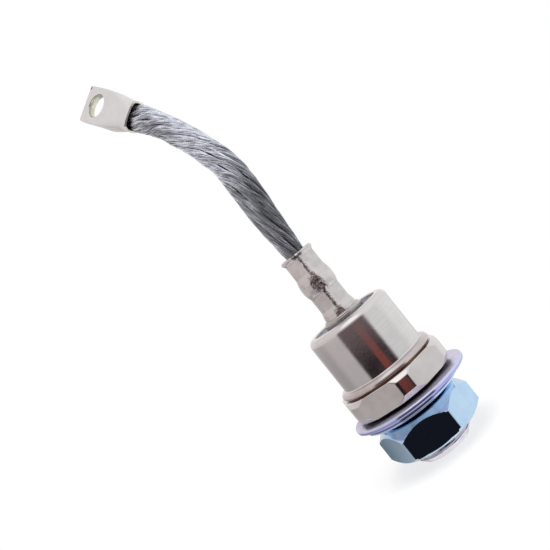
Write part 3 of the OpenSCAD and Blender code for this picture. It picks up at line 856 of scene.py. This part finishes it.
# The arcs where its flats meet the upper chamfer are crisp, so each face there has its own normals.
# The rounded corners and the lower chamfer keep the smooth ones.
flat_half_angle = 27
lower_edge_h = 1
nut_normals = []
for face in nut.data.polygons:
    spot = face.center / MM
    around = math.atan2(spot.y, spot.x)
    off_flat = (math.degrees(around) - nut_corner_at) % 60 - 30
    flat_at = around - math.radians(off_flat)
    flat_reach = nut_af / 2 / math.cos(math.radians(off_flat))
    cone_reach = nut_face_r + nut_upper_slope * (nut_head - spot.z)
    outside = spot.to_2d().length > nut_face_r - edge_break and abs(off_flat) < flat_half_angle
    on_flat = outside and flat_reach < cone_reach and spot.z > nut_foot + lower_edge_h
    on_cone = outside and flat_reach > cone_reach and spot.z < nut_head - edge_break
    for corner in face.vertices:
        corner_at = nut.data.vertices[corner].co
        if on_flat:
            nut_normals.append((math.cos(flat_at), math.sin(flat_at), 0))
        elif on_cone:
            rise = corner_at.to_2d().length * nut_upper_slope
            nut_normals.append(Vector((corner_at.x, corner_at.y, rise)).normalized())
        else:
            nut_normals.append((0, 0, 0))
nut.data.normals_split_custom_set(nut_normals)
nut.data.materials.append(
    metal("zinc_nut", srgb(188, 216, 240), srgb(178, 208, 235), 0.05, 0.09, patch_scale=240))
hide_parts("hex_nut")
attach(nut, "root")


# Floor
# A pale floor under the stud's end. It runs out to the white of the background, and keeps the shadow.
bpy.ops.mesh.primitive_circle_add(vertices=96, radius=0.6, fill_type="NGON", location=(0, 0, stud_end * MM))
floor = bpy.context.object
floor.name = "floor"
floor.visible_glossy = False
floor_finish = bpy.data.materials.new("pale_floor")
floor_finish.use_nodes = True
tree = floor_finish.node_tree
tree.nodes.clear()
floor_out = add(tree, "ShaderNodeOutputMaterial")
paper = add(tree, "ShaderNodeBsdfDiffuse", {"Color": (0.92, 0.92, 0.93, 1)})
white = add(tree, "ShaderNodeEmission", {"Color": (1, 1, 1, 1), "Strength": 1.0})
floor_ray = add(tree, "ShaderNodeLightPath")
floor_at = add(tree, "ShaderNodeTexCoord").outputs["Object"]
away = add(tree, "ShaderNodeVectorMath", {0: floor_at}, operation="LENGTH")
fade = add(tree, "ShaderNodeMapRange", {"Value": away.outputs["Value"], "From Min": 0.01, "From Max": 0.09,
                                        "To Min": 0.72, "To Max": 1.0}, interpolation_type="SMOOTHSTEP")
blank = add(tree, "ShaderNodeMath", {0: fade.outputs["Result"], 1: floor_ray.outputs["Is Camera Ray"]},
            operation="MULTIPLY")
mixed = add(tree, "ShaderNodeMixShader", {0: blank.outputs["Value"], 1: paper.outputs["BSDF"],
                                          2: white.outputs["Emission"]})
tree.links.new(mixed.outputs["Shader"], floor_out.inputs["Surface"])
floor.data.materials.append(floor_finish)


# Studio
# White cloth all round, a little dimmer on the left, with a dark opening in front at table height.
# The metal mirrors it. A soft lamp hangs over the part, and a smaller one stands on the right.
world = bpy.data.worlds.new("studio")
bpy.context.scene.world = world
world.use_nodes = True
sky = world.node_tree
sky.nodes.clear()
sky_out = add(sky, "ShaderNodeOutputWorld")
sky_at = add(sky, "ShaderNodeTexCoord").outputs["Generated"]
to_right, to_back, upward = add(sky, "ShaderNodeSeparateXYZ", {"Vector": sky_at}).outputs


def worked_out(operation, a, b=0.0):
    """A sum, a product or an angle worked out from one or two values."""
    return add(sky, "ShaderNodeMath", {0: a, 1: b}, operation=operation).outputs["Value"]


# Both angles are in radians: azimuth goes from the front to the right, and tall from level upwards.
azimuth = worked_out("ARCTAN2", to_right, worked_out("MULTIPLY", to_back, -1.0))
tall = worked_out("ARCSINE", upward)


def change(value, start, end, first, last):
    """A smooth change from first to last as an angle passes from start to end, in degrees."""
    node = add(sky, "ShaderNodeMapRange",
               {"Value": value, "From Min": math.radians(start), "From Max": math.radians(end),
                "To Min": first, "To Max": last}, interpolation_type="SMOOTHSTEP")
    return node.outputs["Result"]


def above(value, start, end):
    """A mask that rises from 0 to 1 as an angle passes from start to end, in degrees."""
    return change(value, start, end, 0.0, 1.0)


def below(value, start, end):
    """A mask that falls from 1 to 0 as an angle passes from start to end, in degrees."""
    return change(value, start, end, 1.0, 0.0)


def product(a, b):
    """Two masks multiplied."""
    return worked_out("MULTIPLY", a, b)


def window(value, rise, fall):
    """A mask that is 1 between two soft edges, each given by its start and end in degrees."""
    return product(above(value, *rise), below(value, *fall))


rightward = add(sky, "ShaderNodeMapRange",
                {"Value": to_right, "From Min": -0.9, "From Max": 0.7}).outputs["Result"]
cloth = mix_colors(sky, rightward, (0.82, 0.77, 0.755, 1), (0.98, 0.98, 0.985, 1))
# It is dimmer towards the table on the left and in front, and evenly light on the right.
dim_front = product(change(azimuth, -20, 40, 1.0, 0.5), below(azimuth, 72, 98))
dim_side = worked_out("ADD", dim_front, above(azimuth, 130, 178))
cloth = mix_colors(sky, product(change(tall, -18, 8, 0.5, 0.0), dim_side), cloth, (0.2, 0.2, 0.21, 1))
mid_left = product(window(azimuth, (-170, -140), (-112, -85)),
                   product(above(tall, -12.5, -10.5), change(tall, -8, -4, 0.4, 0.0)))
cloth = mix_colors(sky, mid_left, cloth, (0.2, 0.18, 0.18, 1))
low_left = product(window(azimuth, (-175, -160), (-142.3, -140)),
                   window(tall, (-18.5, -15.5), (-13.5, -12.5)))
cloth = mix_colors(sky, low_left, cloth, (0.09, 0.13, 0.15, 1))
# A strong light hangs over the front, and the table is white, more so on the right.
over_front = product(above(tall, 26, 42), window(azimuth, (-45, -25), (25, 45)))
cloth = mix_colors(sky, over_front, cloth, (1.3, 1.3, 1.3, 1))
table = mix_colors(sky, rightward, (0.75, 0.75, 0.74, 1), (1.15, 1.15, 1.15, 1))
cloth = mix_colors(sky, below(tall, -45, -28), cloth, table)
# The opening ends above the table. It is dim above table height and black towards its foot.
opening = product(window(azimuth, (-51, -42), (29, 40)), above(tall, -27, -22))
studio = mix_colors(sky, product(opening, below(tall, -3, 36)), cloth, (0.22, 0.165, 0.172, 1))
dark = product(opening, below(tall, -8.6, -7.4))
studio = mix_colors(sky, dark, studio, (0.018, 0.014, 0.016, 1))
studio = mix_colors(sky, product(dark, below(tall, -14, -12)), studio, (0.012, 0.011, 0.014, 1))
# A brown strip stands in its middle, on a wider foot.
brown = (0.25, 0.06, 0.045, 1)
strip_end = (-13.6, -12.8)
strip = product(window(azimuth, (-4, -1), (13, 16)), window(tall, strip_end, (-8.8, -6.8)))
studio = mix_colors(sky, strip, studio, brown)
strip_foot = product(window(azimuth, (-6.5, -3.5), (18, 21)), window(tall, strip_end, (-11, -10.6)))
studio = mix_colors(sky, strip_foot, studio, brown)
sky_ray = add(sky, "ShaderNodeLightPath")
seen = mix_colors(sky, sky_ray.outputs["Is Camera Ray"], studio, (1, 1, 1, 1))
level = add(sky, "ShaderNodeMapRange", {"Value": sky_ray.outputs["Is Diffuse Ray"],
                                        "To Min": 1.0, "To Max": 0.55})
light = add(sky, "ShaderNodeBackground", {"Color": seen, "Strength": level.outputs["Result"]})
sky.links.new(light.outputs["Background"], sky_out.inputs["Surface"])

lamps_aim = Vector((0, 0.01, 0.045))
lamps = [("lamp_above", Vector((0.05, -0.1, 0.6)), 0.35, 3.2),
         ("lamp_right", Vector((0.5, -0.25, 0.2)), 0.22, 0.9)]
for lamp_name, lamp_at, lamp_size, watts in lamps:
    lamp_data = bpy.data.lights.new(lamp_name, "AREA")
    lamp_data.shape = "DISK"
    lamp_data.size = lamp_size
    lamp_data.energy = watts
    lamp = bpy.data.objects.new(lamp_name, lamp_data)
    lamp.location = lamp_at
    lamp.rotation_euler = (lamps_aim - lamp_at).to_track_quat("-Z", "Y").to_euler()
    lamp.visible_glossy = False
    bpy.context.scene.collection.objects.link(lamp)


# Camera
# It looks level across the part and is rolled, so that the stud's axis leans to the upper left.
camera_roll = math.radians(38.63)
camera_at = Vector((-8.34, -223, 49.78)) * MM
focal_px = 770
frame_px = 550
camera_data = bpy.data.cameras.new("camera")
camera_data.sensor_width = 36
camera_data.lens = focal_px / frame_px * camera_data.sensor_width
camera_data.clip_start = 0.01
camera = bpy.data.objects.new("camera", camera_data)
camera_right = Vector((math.cos(camera_roll), 0, -math.sin(camera_roll)))
camera_up = Vector((math.sin(camera_roll), 0, math.cos(camera_roll)))
camera_back = Vector((0, -1, 0))
camera_turn = Matrix((camera_right, camera_up, camera_back)).transposed().to_4x4()
camera.matrix_world = Matrix.Translation(camera_at) @ camera_turn
bpy.context.scene.collection.objects.link(camera)
bpy.context.scene.camera = camera
bpy.context.scene.view_settings.view_transform = "Standard"
